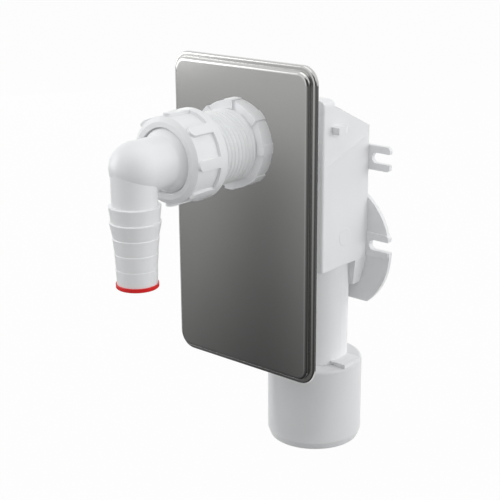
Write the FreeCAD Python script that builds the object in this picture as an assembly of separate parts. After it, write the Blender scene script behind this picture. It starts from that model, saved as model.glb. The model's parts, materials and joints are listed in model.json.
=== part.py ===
"""Concealed washing machine trap, in millimetres.

The outlet axis is Z, with the lower end of the outlet adapter at Z = 0. The wall plate faces -Y and
the trap body goes into the wall behind it, towards +Y. X is the width.
"""
import FreeCAD
import Part
import math
import os

Vector = FreeCAD.Vector
ACROSS = Vector(1, 0, 0)
INWARD = Vector(0, 1, 0)
UP = Vector(0, 0, 1)

# Wall plate, pressed from sheet
plate_width = 86.0
plate_height = 152.0
plate_depth = 4.5
plate_corner = 8.5
plate_rim = 2.4
plate_rim_depth = 2.1
plate_rim_edge = 1.0
plate_field_edge = 1.7
plate_sheet = 0.8

# Where the plate and the inlet stand from the outlet's lower end
plate_setback = 55.2
plate_centre_z = 132.5
inlet_above_centre = 37.2

# Inlet tube, at the root of its thread
tube_radius = 16.3
tube_wall = 2.0
tube_reach = 47.2

# Lock nut in front of the plate
ring_wall = 4.3
ring_length = 7.5
ring_back_chamfer = 0.4
ring_ramp = 1.2
rib_count = 8
rib_width = 4.9
ring_rib_height = 0.6
thread_depth = 0.9
thread_gap = 0.4

# Union nut
union_wall = 3.1
union_collar_step = 1.4
union_collar_length = 4.4
union_length = 18.9
union_lip = 2.2
union_catch = 1.2
union_edge = 1.6
union_edge_fall = 2.2

# Hose elbow and its barb
elbow_wall = 2.2
elbow_flare = 2.3
elbow_flare_length = 3.1
elbow_blend = 1.5
elbow_flange = 3.0
hub_gap = 0.8
hub_recess = 1.0
hose_offset = 18.1
hose_radius = 10.05
hose_wall = 1.7
bend_offset = 1.6
barb_drop = 15.7
barb_pitch = 7.05
barb_edge = 0.4
barb_lips = (11.45, 11.4, 10.25, 9.6, 9.2)
barb_roots = (10.65, 10.0, 9.45, 9.1, 8.9)

# Washer and end plug
washer_thickness = 2.0
plug_radius = 9.45
plug_rim = 1.8
plug_depth = 9.0
plug_wall = 1.5
plug_edge = 0.2

# Trap body
body_half_width = 22.0
body_wall = 2.0
body_front = -23.5
body_back = 14.4
body_floor = 100.1
body_edge = 1.2
roof_flat = 9.2
roof_drop = 3.4
eave_drop = 0.8
cap_rise = 3.4
cap_edge = 3.0
cap_corner = 3.6
cap_depth = 11.0

# Catch on each side of the box
catch_setback = 6.6
catch_length = 7.4
catch_height = 3.2
catch_proud = 4.3
catch_above_inlet = 1.3
catch_chamfer = 0.5
catch_chamfer_length = 1.4

# Neck pipe and its stop lugs
neck_draft = 0.4
neck_wall = 2.0
neck_insert = 24.0
lug_width = 14.4
lug_height = 2.2
lug_root = 0.7

# Back moulding
back_thickness = 2.4
disc_radius = 36.0
disc_above_floor = 3.0
disc_below_floor = 24.9
fork_length = 12.6
fork_slot = 5.5
fork_slot_inset = 2.0
fork_height = 12.6
fork_above_floor = 6.8
fork_below_eave = 16.4
fork_pad = 0.8
fork_pad_length = 13.6
gusset_depth = 9.9
gusset_lean = 3.7
gusset_drop = 15.0
gusset_taper = 4.0

# Water seal
seal_wall = 1.5
shelf_drop = 0.8
shelf_rise = 11.1
down_leg = 6.3
up_leg = 6.6
dip_gap = 5.9
weir_drop = 3.1

# Outlet adapter and its seal
outlet_radius = 25.0
outlet_length = 44.4
outlet_wall = 2.2
outlet_round = 1.8
outlet_chamfer = 1.3
outlet_chamfer_length = 3.6
seal_width = 5.7
seal_height = 8.0
seal_lip = 2.0
seal_lip_tip = 1.2
seal_bead = 0.8
running_gap = 0.2

# Nearness that counts as lying in a plane
touch = 1e-4

# Worked out from the sizes above
plate_back = -plate_setback
plate_front = plate_back - plate_depth
inlet_z = plate_centre_z + inlet_above_centre
tube_bore = tube_radius - tube_wall
thread_radius = tube_radius + thread_depth
ring_radius = tube_radius + ring_wall
union_radius = tube_radius + union_wall
union_collar_radius = union_radius + union_collar_step
tube_end = plate_back - tube_reach
ring_front = plate_front - ring_length
washer_front = tube_end - washer_thickness
flange_front = washer_front - elbow_flange
union_front = flange_front - union_lip
union_back = union_front + union_length
flange_radius = tube_radius - running_gap
lip_bore = flange_radius - union_catch
hub_radius = lip_bore - hub_gap
elbow_radius = hub_radius - elbow_flare
elbow_bore = elbow_radius - elbow_wall
hose_bore = min(barb_roots) - hose_wall
hose_y = union_front - hose_offset
bend_y = hose_y + bend_offset
barb_tip_z = inlet_z - barb_drop - barb_pitch * len(barb_lips)
body_shoulder_z = inlet_z + tube_radius - roof_drop
body_eave_z = inlet_z - eave_drop
roof_break = body_front + roof_flat
floor_inside = body_floor + body_wall
fork_heights = (body_floor + fork_above_floor, body_eave_z - fork_below_eave)
shelf_front_z = inlet_z - tube_bore - shelf_drop - seal_wall
dip_back = body_back - down_leg
dip_front = dip_back - seal_wall
dip_edge_z = floor_inside + dip_gap
weir_back = dip_front - up_leg
weir_front = weir_back - seal_wall
weir_top_z = shelf_front_z - weir_drop
outlet_bore = outlet_radius - outlet_wall
neck_radius = outlet_bore - seal_width
neck_end_z = outlet_length - neck_insert
neck_bore = neck_radius - neck_wall
far = 4 * plate_height


def cylinder_y(radius, start, end, z):
    """Round bar along Y from start to end, centred on the width."""
    return Part.makeCylinder(radius, end - start, Vector(0, start, z), INWARD)


def turned_y(profile, z):
    """Solid turned round the Y line at height z from (radius, y) corners."""
    wire = Part.makePolygon([Vector(radius, y, z) for radius, y in profile + profile[:1]])
    return Part.Face(wire).revolve(Vector(0, 0, z), INWARD, 360)


def turned_z(profile, y):
    """Solid turned round the upright line at depth y from (radius, z) corners."""
    wire = Part.makePolygon([Vector(radius, y, z) for radius, z in profile + profile[:1]])
    return Part.Face(wire).revolve(Vector(0, y, 0), UP, 360)


def side_profile(corners, half_width):
    """Solid with an outline of (y, z) corners, the same on both sides of the middle."""
    wire = Part.makePolygon([Vector(-half_width, y, z) for y, z in corners + corners[:1]])
    return Part.Face(wire).extrude(ACROSS * (2 * half_width))


def block(width, front, back, low, high):
    """Block centred on the width."""
    return Part.makeBox(width, back - front, high - low, Vector(-width / 2, front, low))


def runs_along(edge, direction):
    """True for a straight edge along the direction."""
    first = edge.Vertexes[0].Point
    last = edge.Vertexes[-1].Point
    run = last - first
    return run.Length > touch and run.cross(direction).Length < touch * run.Length


def rounded(solid, radius, chosen):
    """Solid with the edges that chosen accepts rounded."""
    return solid.makeFillet(radius, [edge for edge in solid.Edges if chosen(edge)])


def at_front(y):
    """Test for the edges that lie in the plane at depth y."""
    return lambda edge: abs(edge.BoundBox.YMin - y) < touch and abs(edge.BoundBox.YMax - y) < touch


def plate_block(inset, corner, front, back):
    """Block with the plate's outline, moved in all round, with round corners."""
    width = plate_width - 2 * inset
    half = plate_height / 2 - inset
    solid = block(width, front, back, plate_centre_z - half, plate_centre_z + half)
    return rounded(solid, corner, lambda edge: runs_along(edge, INWARD))


def both_sides(solid):
    """The solid and its mirror image across the middle of the width."""
    return [solid, solid.mirror(Vector(0, 0, 0), ACROSS)]


def round_inlet(solid):
    """Copies of a solid spaced evenly round the inlet axis."""
    copies = []
    for index in range(rib_count):
        copy = solid.copy()
        copy.rotate(Vector(0, 0, inlet_z), INWARD, index * 360 / rib_count)
        copies.append(copy)
    return copies


def cover_plate():
    """Pressed plate: rounded rim, step, raised field, and the hole for the threaded tube."""
    rim_front = plate_back - plate_rim_depth
    rim = plate_block(0, plate_corner, rim_front, plate_back)
    rim = rounded(rim, plate_rim_edge, at_front(rim_front))
    field_corner = plate_corner - plate_rim
    field = plate_block(plate_rim, field_corner, plate_front, plate_back)
    field = rounded(field, plate_field_edge, at_front(plate_front))
    rim_hollow = plate_block(plate_sheet, plate_corner - plate_sheet, rim_front + plate_sheet, plate_back)
    field_hollow = plate_block(plate_rim + plate_sheet, field_corner - plate_sheet,
                               plate_front + plate_sheet, plate_back)
    hole = cylinder_y(thread_radius + thread_gap, ring_front, plate_back, inlet_z)
    return rim.fuse(field).cut(rim_hollow.fuse([field_hollow, hole]))


def ring_nut():
    """Lock nut with ribs on its rim and a ramp from each rib to the next on its front."""
    bore_chamfer = thread_depth + running_gap
    rim_back = plate_front - ring_back_chamfer
    ring = turned_y([(tube_radius, plate_front), (ring_radius - ring_back_chamfer, plate_front),
                     (ring_radius, rim_back), (ring_radius, ring_front),
                     (tube_radius + bore_chamfer, ring_front),
                     (tube_radius, ring_front + bore_chamfer)], inlet_z)
    rib_top = ring_radius + ring_rib_height
    rib = Part.makeBox(ring_radius, rim_back - ring_front, rib_width,
                       Vector(thread_radius, ring_front, inlet_z - rib_width / 2))
    rib = rib.common(cylinder_y(rib_top, ring_front, rim_back, inlet_z))
    run = ring_radius * math.sin(2 * math.pi / rib_count)
    step_z = inlet_z - rib_width / 2
    corners = [Vector(0, ring_front, step_z), Vector(0, ring_front + ring_ramp, step_z),
               Vector(0, ring_front, step_z - run)]
    ramp = Part.Face(Part.makePolygon(corners + corners[:1])).extrude(ACROSS * rib_top * 2)
    return ring.fuse(round_inlet(rib)).cut(Part.makeCompound(round_inlet(ramp)))


def union_nut():
    """Union nut: chamfered front lip, drum with grip ribs, and a collar of their height at the back."""
    collar_front = union_back - union_collar_length
    drum = turned_y([(lip_bore, union_front), (union_radius - union_edge_fall, union_front),
                     (union_radius, union_front + union_edge), (union_radius, collar_front),
                     (union_collar_radius, collar_front), (union_collar_radius, union_back),
                     (tube_radius, union_back), (tube_radius, flange_front),
                     (lip_bore, flange_front)], inlet_z)
    rib_front = union_front + union_edge + rib_width / 2
    rib_reach = union_collar_radius - tube_radius
    rib = Part.makeBox(rib_reach, collar_front - rib_front, rib_width,
                       Vector(thread_radius, rib_front, inlet_z - rib_width / 2))
    nose = Part.makeCylinder(rib_width / 2, rib_reach, Vector(thread_radius, rib_front, inlet_z), ACROSS)
    envelope = cylinder_y(union_collar_radius, union_front, collar_front, inlet_z)
    return drum.fuse(round_inlet(rib.fuse(nose).common(envelope)))


def hose_elbow():
    """Elbow: flange and flared hub in the union nut, ball bend, and a stepped barb down to the tip."""
    hub_back = union_front + hub_recess
    hub_front = hub_back - elbow_flare_length
    arm = turned_y([(0, bend_y), (elbow_radius, bend_y), (elbow_radius, hub_front),
                    (hub_radius, hub_back), (hub_radius, flange_front), (flange_radius, flange_front),
                    (flange_radius, washer_front), (0, washer_front)], inlet_z)
    arm = rounded(arm, elbow_blend, at_front(hub_front))
    bend = Part.makeSphere(elbow_radius, Vector(0, bend_y, inlet_z))
    barb = [(0, inlet_z), (hose_radius, inlet_z)]
    radius = hose_radius
    for index, (lip, root) in enumerate(zip(barb_lips, barb_roots)):
        shoulder_z = inlet_z - barb_drop - index * barb_pitch
        barb += [(radius, shoulder_z), (lip, shoulder_z - barb_edge)]
        radius = root
    barb += [(radius, barb_tip_z), (0, barb_tip_z)]
    solid = arm.fuse([bend, turned_z(barb, hose_y)])
    passage = cylinder_y(elbow_bore, bend_y, washer_front, inlet_z)
    ball = Part.makeSphere(elbow_bore, Vector(0, bend_y, inlet_z))
    drop = Part.makeCylinder(hose_bore, inlet_z - barb_tip_z, Vector(0, hose_y, barb_tip_z), UP)
    return solid.cut(passage.fuse([ball, drop]))


def union_washer():
    """Flat washer between the elbow's flange and the end of the inlet tube."""
    return turned_y([(tube_bore, washer_front), (flange_radius, washer_front), (flange_radius, tube_end),
                     (tube_bore, tube_end)], inlet_z)


def end_plug():
    """Hollow plug pushed up into the barb, with a rim under its tip."""
    low = barb_tip_z - plug_rim
    top = barb_tip_z + plug_depth
    inside = hose_bore - plug_wall
    return turned_z([(0, low), (plug_radius - plug_edge, low), (plug_radius, low + plug_edge),
                     (plug_radius, barb_tip_z), (hose_bore, barb_tip_z), (hose_bore, top), (inside, top),
                     (inside, barb_tip_z), (0, barb_tip_z)], hose_y)


def body_block():
    """Outside of the box, solid, with sharp corners and a roof that falls to the back."""
    return side_profile([(body_front, body_floor), (body_front, body_shoulder_z),
                         (roof_break, body_shoulder_z), (body_back, body_eave_z),
                         (body_back, body_floor)], body_half_width)


def body_outline():
    """Upright block as large as the box, with its round front corners."""
    outline = block(2 * body_half_width, body_front, body_back, 0, far)
    return rounded(outline, body_edge, lambda edge: runs_along(edge, UP) and edge.BoundBox.YMax < roof_break)


def body_shell():
    """Walls of the box, open at the back."""
    box = body_block()
    open_face = max(box.Faces, key=lambda face: face.CenterOfMass.y)
    return box.makeThickness([open_face], -body_wall, touch)


def trap_body():
    """Open-backed box with its raised cap, side catches, threaded inlet tube and neck pipe."""
    cap = block(2 * body_half_width, body_front, body_front + cap_depth, body_shoulder_z - body_wall,
                body_shoulder_z + cap_rise)
    cap = rounded(cap, cap_corner, lambda edge: runs_along(edge, UP)
                  and edge.BoundBox.YMin > body_front + touch)
    cap = rounded(cap, cap_edge, lambda edge: edge.BoundBox.ZMin > body_shoulder_z
                  and edge.BoundBox.YMax > body_front + touch)
    box = body_shell().fuse(cap).common(body_outline())
    catch_low = inlet_z + catch_above_inlet - catch_height / 2
    catch_start = body_front + catch_setback
    catch_end = catch_start + catch_length
    side = body_half_width - body_wall / 2
    proud = body_half_width + catch_proud
    corners = [Vector(side, catch_start, catch_low), Vector(proud, catch_start, catch_low),
               Vector(proud, catch_end - catch_chamfer_length, catch_low),
               Vector(proud - catch_chamfer, catch_end, catch_low), Vector(side, catch_end, catch_low)]
    catch = Part.Face(Part.makePolygon(corners + corners[:1])).extrude(UP * catch_height)
    tube = cylinder_y(tube_radius, tube_end, body_front + body_wall, inlet_z)
    neck = turned_z([(0, neck_end_z), (neck_radius, neck_end_z), (neck_radius, outlet_length),
                     (neck_radius + neck_draft, body_floor), (neck_radius + neck_draft, floor_inside),
                     (0, floor_inside)], 0)
    neck = neck.common(block(far, -far, body_back, 0, far).fuse(block(far, -far, far, 0, body_floor)))
    lug_top = outlet_length + lug_height
    corners = [Vector(neck_bore, -lug_width / 2, lug_top), Vector(outlet_radius, -lug_width / 2, lug_top),
               Vector(outlet_radius, -lug_width / 2, outlet_length),
               Vector(outlet_bore, -lug_width / 2, outlet_length),
               Vector(neck_bore, -lug_width / 2, lug_top - lug_root)]
    lug = Part.Face(Part.makePolygon(corners + corners[:1])).extrude(INWARD * lug_width)
    solid = box.fuse([tube, neck, gusset_block()] + both_sides(catch) + both_sides(lug))
    passage = cylinder_y(tube_bore, tube_end, body_front + cap_depth - body_wall, inlet_z)
    drop = Part.makeCylinder(neck_bore, body_floor - neck_end_z, Vector(0, 0, neck_end_z), UP)
    mouth = Part.makeCylinder(neck_bore, body_wall, Vector(0, 0, body_floor), UP)
    mouth = mouth.common(block(far, -far, weir_front, 0, far))
    return solid.cut(passage.fuse([drop, mouth])).removeSplitter()


def gusset_block():
    """Block under the back of the box, down the neck, that gets narrower and shallower downwards."""
    bottom = body_floor - gusset_drop
    half = body_half_width - gusset_taper
    front = body_back - gusset_depth
    outline = [Vector(-body_half_width, body_back, body_floor),
               Vector(body_half_width, body_back, body_floor),
               Vector(half, body_back, bottom), Vector(-half, body_back, bottom)]
    upright = Part.Face(Part.makePolygon(outline + outline[:1])).extrude(INWARD * -gusset_depth)
    leaning = side_profile([(front, body_floor), (body_back, body_floor), (body_back, bottom),
                            (front + gusset_lean, bottom)], body_half_width)
    return upright.common(leaning)


def back_plate():
    """Back moulding: wall that closes the box, round flange cut straight below, and slotted forks."""
    back = body_back + back_thickness
    wall = block(2 * (body_half_width - body_wall), body_back, back, body_floor, body_eave_z - body_wall)
    disc = cylinder_y(disc_radius, body_back, back, body_floor + disc_above_floor)
    disc = disc.common(block(far, body_back, back, body_floor - disc_below_floor, far))
    plate = wall.fuse(disc)
    prong_width = (fork_height - fork_slot) / 2
    prong_round = prong_width / 2
    pad_front = body_back - fork_pad
    slot_centre = body_half_width + fork_slot_inset + fork_slot / 2
    slots = []
    for z in fork_heights:
        low = z - fork_height / 2
        arm = block(2 * (body_half_width + fork_length), body_back, back, low, low + fork_height)
        plate = plate.fuse(rounded(arm, prong_round, lambda edge: runs_along(edge, INWARD)))
        end = Part.makeCylinder(fork_slot / 2, back - pad_front, Vector(slot_centre, pad_front, z), INWARD)
        run = Part.makeBox(far, back - pad_front, fork_slot,
                           Vector(slot_centre, pad_front, z - fork_slot / 2))
        slots += both_sides(end.fuse(run))
    pad = Part.makeBox(fork_pad_length, back - pad_front, fork_height,
                       Vector(body_half_width, pad_front, fork_heights[0] - fork_height / 2))
    pad = rounded(pad, prong_round,
                  lambda edge: runs_along(edge, INWARD) and edge.BoundBox.XMin > slot_centre)
    plate = plate.fuse(both_sides(pad))
    neck = Part.makeCylinder(neck_radius + neck_draft, body_floor, Vector(0, 0, 0), UP)
    return plate.cut(Part.makeCompound(slots)).cut(neck).removeSplitter()


def seal_insert():
    """Partitions of the water seal: sloping shelf, dip wall, weir, and the two cheeks that join them."""
    front = body_front + body_wall
    inside = body_half_width - body_wall
    shelf_end_z = shelf_front_z + shelf_rise
    shelf = side_profile([(front, shelf_front_z), (front, shelf_front_z + seal_wall),
                          (dip_front, shelf_end_z), (dip_back, shelf_end_z), (dip_back, dip_edge_z),
                          (dip_front, dip_edge_z), (dip_front, shelf_end_z - seal_wall)], inside)
    weir = side_profile([(weir_front, floor_inside), (weir_back, floor_inside), (weir_back, weir_top_z),
                         (weir_front, weir_top_z)], inside)
    cheek = Part.makeBox(seal_wall, dip_back - weir_front, weir_top_z - dip_edge_z,
                         Vector(inside - seal_wall, weir_front, dip_edge_z))
    hollow = body_block().cut(body_shell())
    return shelf.fuse([weir] + both_sides(cheek)).common(hollow).removeSplitter()


def outlet_adapter():
    """Sleeve with a closed top that fits round the neck, and a bead inside under the seal."""
    top_inside = outlet_length - outlet_wall
    bead_z = top_inside - seal_height
    mouth = neck_radius + running_gap
    sleeve = turned_z([(outlet_bore, 0), (outlet_radius - outlet_chamfer, 0),
                       (outlet_radius, outlet_chamfer_length), (outlet_radius, outlet_length),
                       (mouth, outlet_length), (mouth, top_inside), (outlet_bore, top_inside),
                       (outlet_bore, bead_z), (outlet_bore - seal_bead, bead_z - seal_bead),
                       (outlet_bore, bead_z - 2 * seal_bead)], 0)
    return rounded(sleeve, outlet_round, lambda edge: edge.BoundBox.ZMin > outlet_length - touch
                   and edge.BoundBox.XLength > 2 * outlet_bore)


def outlet_seal():
    """Lip ring that fills the sleeve under its top and grips the neck."""
    top = outlet_length - outlet_wall
    low = top - seal_height
    return turned_z([(neck_radius, top), (outlet_bore, top), (outlet_bore, low),
                     (outlet_bore - seal_lip, low), (outlet_bore - seal_lip, top - seal_lip),
                     (neck_radius + seal_lip, top - seal_lip), (neck_radius + seal_lip_tip, low),
                     (neck_radius, low)], 0)


PIECES = (cover_plate, ring_nut, union_nut, hose_elbow, union_washer, end_plug, trap_body, back_plate,
          seal_insert, outlet_adapter, outlet_seal)

os.makedirs("parts", exist_ok=True)
for piece in PIECES:
    shape = piece()
    if len(shape.Solids) != 1 or not shape.isValid():
        raise ValueError(piece.__name__ + " is not one valid solid")
    shape.Solids[0].exportStep("parts/" + piece.__name__ + ".step")
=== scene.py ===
"""Looks of the concealed washing machine trap: finishes, inlet thread, moulding marks and a plain studio."""
import json
import math

import bpy
import numpy as np
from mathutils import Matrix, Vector

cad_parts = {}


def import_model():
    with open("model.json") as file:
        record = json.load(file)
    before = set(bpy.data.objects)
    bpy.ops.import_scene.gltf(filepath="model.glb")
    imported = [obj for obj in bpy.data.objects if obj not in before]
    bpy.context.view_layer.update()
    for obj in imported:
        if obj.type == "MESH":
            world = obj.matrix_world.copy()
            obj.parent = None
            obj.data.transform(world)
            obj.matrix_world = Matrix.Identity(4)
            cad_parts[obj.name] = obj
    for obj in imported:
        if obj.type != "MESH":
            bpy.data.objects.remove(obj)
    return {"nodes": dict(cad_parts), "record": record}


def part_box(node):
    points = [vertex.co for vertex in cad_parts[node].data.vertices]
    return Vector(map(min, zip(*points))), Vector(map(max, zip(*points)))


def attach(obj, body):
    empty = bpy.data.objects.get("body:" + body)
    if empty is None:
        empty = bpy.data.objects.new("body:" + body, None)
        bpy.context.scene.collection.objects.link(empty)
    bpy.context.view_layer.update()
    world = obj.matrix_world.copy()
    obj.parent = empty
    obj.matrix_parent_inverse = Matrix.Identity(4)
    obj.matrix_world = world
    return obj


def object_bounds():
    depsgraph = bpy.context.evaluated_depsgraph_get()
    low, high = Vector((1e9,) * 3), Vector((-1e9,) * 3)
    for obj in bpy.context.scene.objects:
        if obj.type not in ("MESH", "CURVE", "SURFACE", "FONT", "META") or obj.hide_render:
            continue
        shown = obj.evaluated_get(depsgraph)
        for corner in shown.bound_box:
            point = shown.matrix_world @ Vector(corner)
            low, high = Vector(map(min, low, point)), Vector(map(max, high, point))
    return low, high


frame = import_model()
cad_low, cad_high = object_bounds()

# Camera in metres and degrees, its focus and middle in the photograph's pixels, its sensor in millimetres
camera_place = (0.360263, -0.470664, 0.290223)
camera_azimuth = 39.372
camera_elevation = 17.305
camera_clip = 0.01
photo_width = 500
photo_focus = 1196.694
photo_middle = (277.146, 243.759)
sensor_width = 36.0

# Thread on the inlet tube
thread_root = 0.0163
thread_crest = 0.0172
thread_pitch = 0.00244
thread_runout = 0.0012
thread_groove = 2.0
thread_sink = 0.0001
thread_steps_round = 160
thread_steps_a_pitch = 24

# Faint line and round pad on the box's sides, which lie back from the catches, with their places in y and z
catch_proud = 0.0043
mark_sink = 0.00002
line_start = (-0.0223, 0.1534)
line_end = (0.0136, 0.1651)
line_groove = 0.00018
line_swell = 0.003
line_height = 0.00018
line_fade = 0.06
line_steps = 24
line_places = (0, 0.5, 1, 1.5, 3)
pad_centre = (-0.0049, 0.1148)
pad_radius = 0.0047
pad_height = 0.00018
pad_edge = 0.00035
pad_steps = 65

# Finishes: colours from dark to light, noise in cells a metre, bump as strength and as depth in metres
soft_edge = 0.0003
soft_edge_samples = 6
white_colours = ((0.85, 0.86, 0.875), (0.89, 0.9, 0.91))
white_rough = 0.27
white_rough_more = 0.08
white_cloud = 45.0
white_cloud_detail = 3.0
white_grain = 2600.0
white_bump = (0.06, 0.0002)
white_ior = 1.49
steel_colours = ((0.53, 0.53, 0.52), (0.57, 0.57, 0.56))
steel_rough = 0.11
steel_rough_more = 0.03
steel_grain = (9000.0, 9000.0, 120.0)
steel_grain_detail = 3.0
steel_cloud = 18.0
steel_bump = (0.03, 0.00005)
red_colours = ((0.74, 0.006, 0.008), (0.82, 0.01, 0.01))
red_rough = 0.34
red_rough_more = 0.08
red_cloud = 200.0
red_bump = (0.05, 0.0002)
rubber_colours = ((0.03, 0.03, 0.032), (0.05, 0.05, 0.052))
rubber_rough = 0.7
rubber_rough_more = 0.15
rubber_grain = 1500.0
rubber_bump = (0.1, 0.0002)

# Uses of the white plastic, with the radius of their soft edges and their tone: the sleeve's lower tone is
# painted shade, the ring nut's higher tone painted light
white_uses = {
    "moulded_white": (0.0002, 1.0),
    "thread_white": (0.00005, 1.0),
    # Outlet sleeve: a darker copy of the white plastic, painted shade for the lower part of the object
    "sleeve_painted_shade": (0.0004, 0.88),
    # Ring nut: a lighter copy of the white plastic, painted light over its shade
    "ring_painted_light": (0.0002, 1.05),
}

# Sockets of a Mix node that are for colours, by number because others have the same names
mix_first = 6
mix_second = 7
mix_result = 2

# Floor, and the cards and walls that only reflections show, with the bands of the object's painted shadow on
# the floor card as share, start and end
floor_size = 8.0
floor_gap = 0.0005
floor_glow = 0.975
floor_tone = 0.4
card_size = 1.6
card_front = -0.03
card_gap = 0.001
card_bright = 0.985
card_fall = 0.62
card_slant = 0.83
# Bands of the object's painted shadow on the floor card, and where they fade out ahead
card_shadow_bands = ((0.13, -0.003, 0.006), (0.38, 0.0, 0.064), (-0.4, 0.064, 0.125))
card_bands_end = (0.48, 0.76)
card_side_loss = 0.58
card_side_spread = 0.5
side_level = 0.16
side_card_start = 0.1
side_card_size = 3.0
side_card_fade = (1.6, 3.6)
side_wall_place = 1.6
side_wall_height = 1.0
side_wall_fade = (0.1, 1.0)
dark_wall_distance = 1.5
dark_wall_half = 0.9
dark_wall_level = 0.08

# Light all round
ambient = 0.41

# Lamps: name, azimuth, elevation, distance, size, power, and whether reflections show it
softboxes = (
    ("top", 0, 85, 1.1, 0.9, 1.9, True),
    ("back_right", 150, 9, 1.1, 0.9, 3.4, False),
    ("right", 107, 11, 1.1, 0.8, 5.0, False),
    ("back_left", 240, 5, 1.1, 0.5, 1.0, False),
    ("high_back_left", 220, 30, 1.1, 0.9, 1.6, False),
    ("left", 300, 15, 1.1, 0.7, 3.7, True),
    ("high_front", 340, 50, 1.1, 0.9, 2.1, False),
    ("camera_side", 40, 15, 1.1, 0.9, 1.1, False),
)


class Signal:
    """An output socket of a shader, with arithmetic that adds Math nodes."""

    def __init__(self, tree, socket=None):
        self.tree = tree
        self.socket = socket

    def node(self, kind, settings=None, inputs=None, output=0):
        """Adds a node, makes its settings, then sets or links its sockets, and gives one of its outputs."""
        made = self.tree.nodes.new(kind)
        for name, value in (settings or {}).items():
            setattr(made, name, value)
        for name, value in (inputs or {}).items():
            if isinstance(value, Signal):
                self.tree.links.new(value.socket, made.inputs[name])
            else:
                made.inputs[name].default_value = value
        return Signal(self.tree, made.outputs[output] if made.outputs else None)

    def maths(self, operation, first, second):
        """A Math node on two values or signals."""
        return self.node("ShaderNodeMath", {"operation": operation}, {0: first, 1: second})

    def __add__(self, other):
        return self.maths("ADD", self, other)

    def __sub__(self, other):
        return self.maths("SUBTRACT", self, other)

    def __rsub__(self, other):
        return self.maths("SUBTRACT", other, self)

    def __mul__(self, other):
        return self.maths("MULTIPLY", self, other)

    def __truediv__(self, other):
        return self.maths("DIVIDE", self, other)

    def __rtruediv__(self, other):
        return self.maths("DIVIDE", other, self)

    __radd__ = __add__
    __rmul__ = __mul__

    def clipped(self, low, high):
        """From 0 at low to 1 at high, smooth at both ends."""
        return self.node("ShaderNodeMapRange", {"interpolation_type": "SMOOTHSTEP"},
                         {"Value": self, "From Min": low, "From Max": high})

    def place(self, axis):
        """One coordinate of the surface in the object's own frame, by the axis's number."""
        whole = self.node("ShaderNodeTexCoord", output="Object")
        return self.node("ShaderNodeSeparateXYZ", inputs={0: whole}, output=axis)

    def noise(self, scale, detail=2.0, stretch=(1.0, 1.0, 1.0)):
        """Noise from 0 to 1 on the object's own frame, scale in cells a metre, stretched along the axes."""
        whole = self.node("ShaderNodeTexCoord", output="Object")
        stretched = self.node("ShaderNodeMapping", inputs={"Vector": whole, "Scale": stretch})
        return self.node("ShaderNodeTexNoise", inputs={"Vector": stretched, "Scale": scale, "Detail": detail})

    def mixed(self, colours, share, tone=1.0):
        """A colour between two colours, both scaled by a tone."""
        first, second = (shade(colour, tone) for colour in colours)
        return self.node("ShaderNodeMix", {"data_type": "RGBA"},
                         {"Factor": share, mix_first: first, mix_second: second}, mix_result)


def shade(colour, tone):
    """A colour with all its parts scaled, and no transparency."""
    return tuple(part * tone for part in colour) + (1,)


def grey(level):
    """An opaque grey."""
    return (level, level, level, 1)


def new_finish(name):
    """A material with an empty tree, and the signal that builds in it."""
    made = bpy.data.materials.new(name)
    made.use_nodes = True
    made.node_tree.nodes.clear()
    return made, Signal(made.node_tree)


def surface(build, sockets):
    """Ends a tree in one Principled surface with these sockets."""
    shader = build.node("ShaderNodeBsdfPrincipled", inputs=sockets)
    build.node("ShaderNodeOutputMaterial", inputs={"Surface": shader})


def rounded_bump(build, height, bump, edge):
    """A bump, as strength and depth, over edges that are rounded to a small radius."""
    soft = build.node("ShaderNodeBevel", {"samples": soft_edge_samples}, {"Radius": edge})
    strength, depth = bump
    return build.node("ShaderNodeBump", inputs={"Height": height, "Strength": strength, "Distance": depth,
                                                "Normal": soft})


def moulded_white(name):
    """White polypropylene: faint clouding in the colour, satin skin with a fine moulded grain."""
    made, build = new_finish(name)
    edge, tone = white_uses[name]
    cloud = build.noise(white_cloud, white_cloud_detail)
    sockets = {
        "Base Color": build.mixed(white_colours, cloud, tone),
        "Roughness": white_rough + white_rough_more * cloud,
        "Normal": rounded_bump(build, build.noise(white_grain), white_bump, edge),
        "IOR": white_ior,
    }
    surface(build, sockets)
    return made


def satin_steel():
    """Stainless sheet: fine upright grain in the gloss, and slow changes in tone."""
    made, build = new_finish("satin_steel")
    grain = build.noise(1.0, steel_grain_detail, steel_grain)
    cloud = build.noise(steel_cloud)
    sockets = {
        "Base Color": build.mixed(steel_colours, cloud),
        "Metallic": 1.0,
        "Roughness": steel_rough + steel_rough_more * grain + steel_rough_more * cloud,
        "Normal": rounded_bump(build, grain, steel_bump, soft_edge),
    }
    surface(build, sockets)
    return made


def red_cap():
    """Red polyethylene of the plug."""
    made, build = new_finish("red_cap")
    cloud = build.noise(red_cloud)
    sockets = {
        "Base Color": build.mixed(red_colours, cloud),
        "Roughness": red_rough + red_rough_more * cloud,
        "Normal": rounded_bump(build, cloud, red_bump, soft_edge),
    }
    surface(build, sockets)
    return made


def black_rubber():
    """Matt black rubber of the washer and the outlet's lip ring."""
    made, build = new_finish("black_rubber")
    grain = build.noise(rubber_grain)
    sockets = {
        "Base Color": build.mixed(rubber_colours, grain),
        "Roughness": rubber_rough + rubber_rough_more * grain,
        "Normal": rounded_bump(build, grain, rubber_bump, soft_edge),
    }
    surface(build, sockets)
    return made


def mesh_piece(name, points, quads, finish):
    """A smooth piece of the object from its points and four-cornered faces."""
    mesh = bpy.data.meshes.new(name)
    mesh.from_pydata(points.reshape(-1, 3).tolist(), [], quads.tolist())
    mesh.polygons.foreach_set("use_smooth", np.ones(len(quads), bool))
    mesh.materials.append(finish)
    mesh.update()
    piece = bpy.data.objects.new(name, mesh)
    bpy.context.scene.collection.objects.link(piece)
    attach(piece, "root")
    return piece


def numbered(points):
    """The numbers of a grid's points, in its rows and columns."""
    rows, columns = points.shape[:2]
    return np.arange(rows * columns).reshape(rows, columns)


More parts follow.
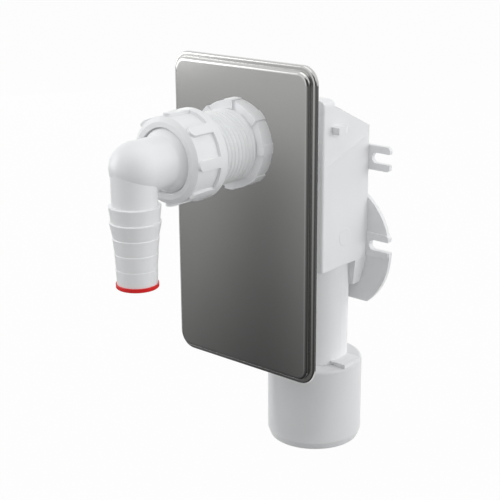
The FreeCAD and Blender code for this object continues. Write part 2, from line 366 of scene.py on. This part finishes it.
def grid_faces(index):
    """Four-cornered faces between the rows and columns of a grid of point numbers."""
    return np.stack([index[:-1, :-1], index[:-1, 1:], index[1:, 1:], index[1:, :-1]], axis=-1).reshape(-1, 4)


def inlet_thread(finish):
    """Thread between the two nuts, on rows that follow the helix: a row climbs one pitch in a turn, and there
    it meets the row one pitch further on. The radius is the root plus the depth times a wide ridge with a
    narrow groove, 1 - (0.5 - 0.5 cos(row)) ** groove, and it sinks into the tube at both ends."""
    ring_low, ring_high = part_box("ring_nut")
    axis_z = (ring_low.z + ring_high.z) / 2
    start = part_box("union_nut")[1].y
    end = ring_low.y + thread_runout
    steps = thread_steps_a_pitch
    rows = steps * (math.ceil((end - start) / thread_pitch) + 1) + 1
    turn = np.linspace(0, 1, thread_steps_round, endpoint=False)[None, :]
    pitches = np.arange(rows)[:, None] / steps
    along = start + thread_pitch * (pitches - 1 + turn)
    ridge = 1 - (0.5 - 0.5 * np.cos(2 * math.pi * pitches)) ** thread_groove
    edge = np.minimum(along - start + thread_runout / 2, end - along) / thread_runout
    radius = thread_root - thread_sink + (thread_crest - thread_root) * ridge * np.clip(edge, 0, 1)
    angle = 2 * math.pi * turn
    points = np.stack([radius * np.sin(angle), along, axis_z + radius * np.cos(angle)], axis=-1)
    index = numbered(points)
    joined = np.concatenate([index[:-steps], index[steps:, :1]], axis=1)
    quads = np.concatenate([grid_faces(joined), grid_faces(index[-steps - 1:])])
    return mesh_piece("inlet_thread", points, quads, finish)


def side_piece(name, side, height, y, z, finish):
    """A piece on the right side of the box, 1, or on its left, -1, from a grid of heights over the wall."""
    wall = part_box("trap_body")[1].x - catch_proud
    points = np.stack([side * (wall + height), y, z], axis=-1)
    return mesh_piece(name, points, grid_faces(numbered(points)), finish)


def shelf_line(name, side, finish):
    """Narrow groove between two low swells on a side of the box. Above and below its middle the height is
    the lower of two lines, one up over the groove's half width and one down to the wall at the swell's edge,
    and it fades out at both ends. Points across it are at some half widths, line_places, and at the edge."""
    along = np.linspace(0, 1, line_steps)[:, None]
    half = np.append(np.multiply(line_places, line_groove), line_swell)
    across = np.concatenate([-half[::-1], half[1:]])[None, ::-side]
    out = np.abs(across)
    climb = np.minimum(out / line_groove, (line_swell - out) / (line_swell - line_groove))
    fade = np.minimum(1, np.minimum(along, 1 - along) / line_fade)
    height = line_height * climb * fade - mark_sink
    y = line_start[0] + (line_end[0] - line_start[0]) * along + 0 * across
    z = line_start[1] + (line_end[1] - line_start[1]) * along + across
    return side_piece(name, side, height, y, z, finish)


def round_pad(name, side, finish):
    """Low round pad on a side of the box, from a square grid pressed into a disc, (u, v) to
    (u sqrt(1 - v v / 2), v sqrt(1 - u u / 2)): flat, then a quarter round down to the wall at its radius."""
    spread = np.sin(np.linspace(-math.pi / 2, math.pi / 2, pad_steps))
    u, v = spread[None, :], spread[:, None]
    across = u * np.sqrt(1 - v ** 2 / 2)
    up = v * np.sqrt(1 - u ** 2 / 2)
    fall = np.clip((np.hypot(across, up) - 1) * pad_radius / pad_edge + 1, 0, 1)
    height = pad_height * np.sqrt(1 - fall ** 2) - mark_sink
    y = pad_centre[0] + side * pad_radius * across
    z = pad_centre[1] + pad_radius * up
    return side_piece(name, side, height, y, z, finish)


def facing(azimuth, elevation):
    """The unit direction from the object towards an azimuth and an elevation, in degrees."""
    turn, rise = math.radians(azimuth), math.radians(elevation)
    return Vector((math.sin(turn) * math.cos(rise), -math.cos(turn) * math.cos(rise), math.sin(rise)))


def aim(made, direction):
    """Turns a camera or a lamp to look against a direction, and puts it in the scene."""
    made.rotation_mode = "QUATERNION"
    made.rotation_quaternion = (-direction).to_track_quat("-Z", "Y")
    bpy.context.scene.collection.objects.link(made)


def camera():
    """The camera at the photograph's place, with its focal length and framing."""
    lens = bpy.data.cameras.new("camera")
    lens.sensor_width = sensor_width
    lens.lens = photo_focus / photo_width * sensor_width
    lens.shift_x = 0.5 - photo_middle[0] / photo_width
    lens.shift_y = photo_middle[1] / photo_width - 0.5
    lens.clip_start = camera_clip
    made = bpy.data.objects.new("camera", lens)
    made.location = camera_place
    aim(made, facing(camera_azimuth, camera_elevation))
    bpy.context.scene.camera = made


def softbox(name, azimuth, elevation, distance, size, power, shines):
    """A square area lamp that faces the middle of the object, and shines in reflections or doesn't."""
    lamp = bpy.data.lights.new(name, "AREA")
    lamp.size = size
    lamp.energy = power
    made = bpy.data.objects.new(name, lamp)
    direction = facing(azimuth, elevation)
    made.location = (cad_low + cad_high) / 2 + direction * distance
    made.visible_camera = False
    made.visible_glossy = shines
    aim(made, direction)


def background_seen(build):
    """One for a ray that sees the background itself, from the camera, in a reflection or through glass."""
    rays = [build.node("ShaderNodeLightPath", output=name)
            for name in ("Is Camera Ray", "Is Glossy Ray", "Is Transmission Ray")]
    return build.maths("MINIMUM", rays[0] + rays[1] + rays[2], 1.0)


def world():
    """Even light all round, and plain white where the background itself is seen."""
    made = bpy.data.worlds.new("world")
    bpy.context.scene.world = made
    made.use_nodes = True
    made.node_tree.nodes.clear()
    build = Signal(made.node_tree)
    level = ambient + (1 - ambient) * background_seen(build)
    sky = build.node("ShaderNodeBackground", inputs={"Color": grey(1), "Strength": level})
    build.node("ShaderNodeOutputWorld", inputs={"Surface": sky})


def panel(name, corners, finish):
    """A flat four-cornered piece of the studio."""
    mesh = bpy.data.meshes.new(name)
    mesh.from_pydata([tuple(corner) for corner in corners], [], [(0, 1, 2, 3)])
    mesh.materials.append(finish)
    made = bpy.data.objects.new(name, mesh)
    bpy.context.scene.collection.objects.link(made)
    return made


def level_corners(low, high, height):
    """The corners of a level rectangle between two corners in x and y."""
    return [(*low, height), (high[0], low[1], height), (*high, height), (low[0], high[1], height)]


def reflected_card(name, finish, build, colour, corners):
    """A glowing panel that reflections alone show, so that it lights nothing and hides nothing."""
    glow = build.node("ShaderNodeEmission", inputs={"Color": colour, "Strength": 1.0})
    build.node("ShaderNodeOutputMaterial", inputs={"Surface": glow})
    made = panel(name, corners, finish)
    made.visible_camera = False
    made.visible_diffuse = False
    made.visible_transmission = False
    made.visible_shadow = False


def floor():
    """Pale floor under the outlet: white where it is seen, with a little of the object's shadow."""
    made, build = new_finish("floor")
    matt = build.node("ShaderNodeBsdfDiffuse", inputs={"Color": grey(floor_tone)})
    glow = build.node("ShaderNodeEmission", inputs={"Color": grey(1), "Strength": 1.0})
    share = background_seen(build) * floor_glow
    mix = build.node("ShaderNodeMixShader", inputs={0: share, 1: matt, 2: glow})
    build.node("ShaderNodeOutputMaterial", inputs={"Surface": mix})
    half = floor_size / 2
    panel("floor", level_corners((-half, -half), (half, half), cad_low.z - floor_gap), made)


def floor_card():
    """Grey card on the floor in front, darker near the object, for the plate to reflect, with a painted
    shadow of the object on it in dark bands.
    """
    made, build = new_finish("floor_card")
    across = build.place(0)
    ahead = 0 - build.place(1)
    aside = across + card_slant * ahead
    # Painted shadow: dark bands where the object's shadow on the floor falls, fading out further ahead
    dark = sum(share * aside.clipped(low, high) for share, low, high in card_shadow_bands)
    dark = dark * (1 - ahead.clipped(*card_bands_end))
    level = card_bright * ahead / (ahead + card_fall) * (1 - dark)
    level = level * (1 - card_side_loss * (across / ahead).clipped(0.0, card_side_spread))
    reflected_card("floor_card", made, build, level,
                   level_corners((-card_size, -card_size), (card_size, card_front), card_gap))


def side_card():
    """Dark card on the floor behind on the right, for the plate's right edge to reflect."""
    made, build = new_finish("side_card")
    level = side_level + (1 - side_level) * (build.place(0) + build.place(1)).clipped(*side_card_fade)
    reflected_card("side_card", made, build, level,
                   level_corners((side_card_start, card_front), (side_card_size, side_card_size), card_gap))


def side_wall():
    """Wall on the right, dark below and white above, for the plate's upper corner to reflect."""
    made, build = new_finish("side_wall")
    level = side_level + (1 - side_level) * build.place(2).clipped(*side_wall_fade)
    place, height = side_wall_place, side_wall_height
    reflected_card("side_wall", made, build, level,
                   [(place, -place, 0), (place, place, 0), (place, place, height), (place, -place, height)])


def dark_wall():
    """Dark wall behind the camera, for bright edges to stand out against."""
    made, build = new_finish("dark_wall")
    middle = facing(camera_azimuth, camera_elevation) * dark_wall_distance
    side = facing(camera_azimuth + 90, 0) * dark_wall_half
    rise = Vector((0, 0, dark_wall_half))
    reflected_card("dark_wall", made, build, grey(dark_wall_level),
                   [middle - side - rise, middle + side - rise, middle + side + rise, middle - side + rise])


thread_white = moulded_white("thread_white")
finishes = {
    "white_plastic": moulded_white("moulded_white"),
    "steel": satin_steel(),
    "red_plastic": red_cap(),
    "rubber": black_rubber(),
}
for row in frame["record"]["subparts"]:
    frame["nodes"][row["node"]].material_slots[0].material = finishes[row["material_slot"]]
# Darker copy of the white plastic for the outlet sleeve, painted shade
frame["nodes"]["outlet_adapter"].material_slots[0].material = moulded_white("sleeve_painted_shade")
# Lighter copy of the white plastic for the ring nut, painted light
frame["nodes"]["ring_nut"].material_slots[0].material = moulded_white("ring_painted_light")

pieces = [inlet_thread(thread_white)]
for label, side in (("right", 1), ("left", -1)):
    pieces.append(shelf_line("shelf_line_" + label, side, thread_white))
    pieces.append(round_pad("round_pad_" + label, side, thread_white))
camera()
world()
floor()
floor_card()
side_card()
side_wall()
dark_wall()
for box in softboxes:
    softbox(*box)

# Reflections show the plate and the studio, and no other piece
for name, node in frame["nodes"].items():
    node.visible_glossy = name == "cover_plate"
for piece in pieces:
    piece.visible_glossy = False

bpy.context.scene.view_settings.view_transform = "Standard"
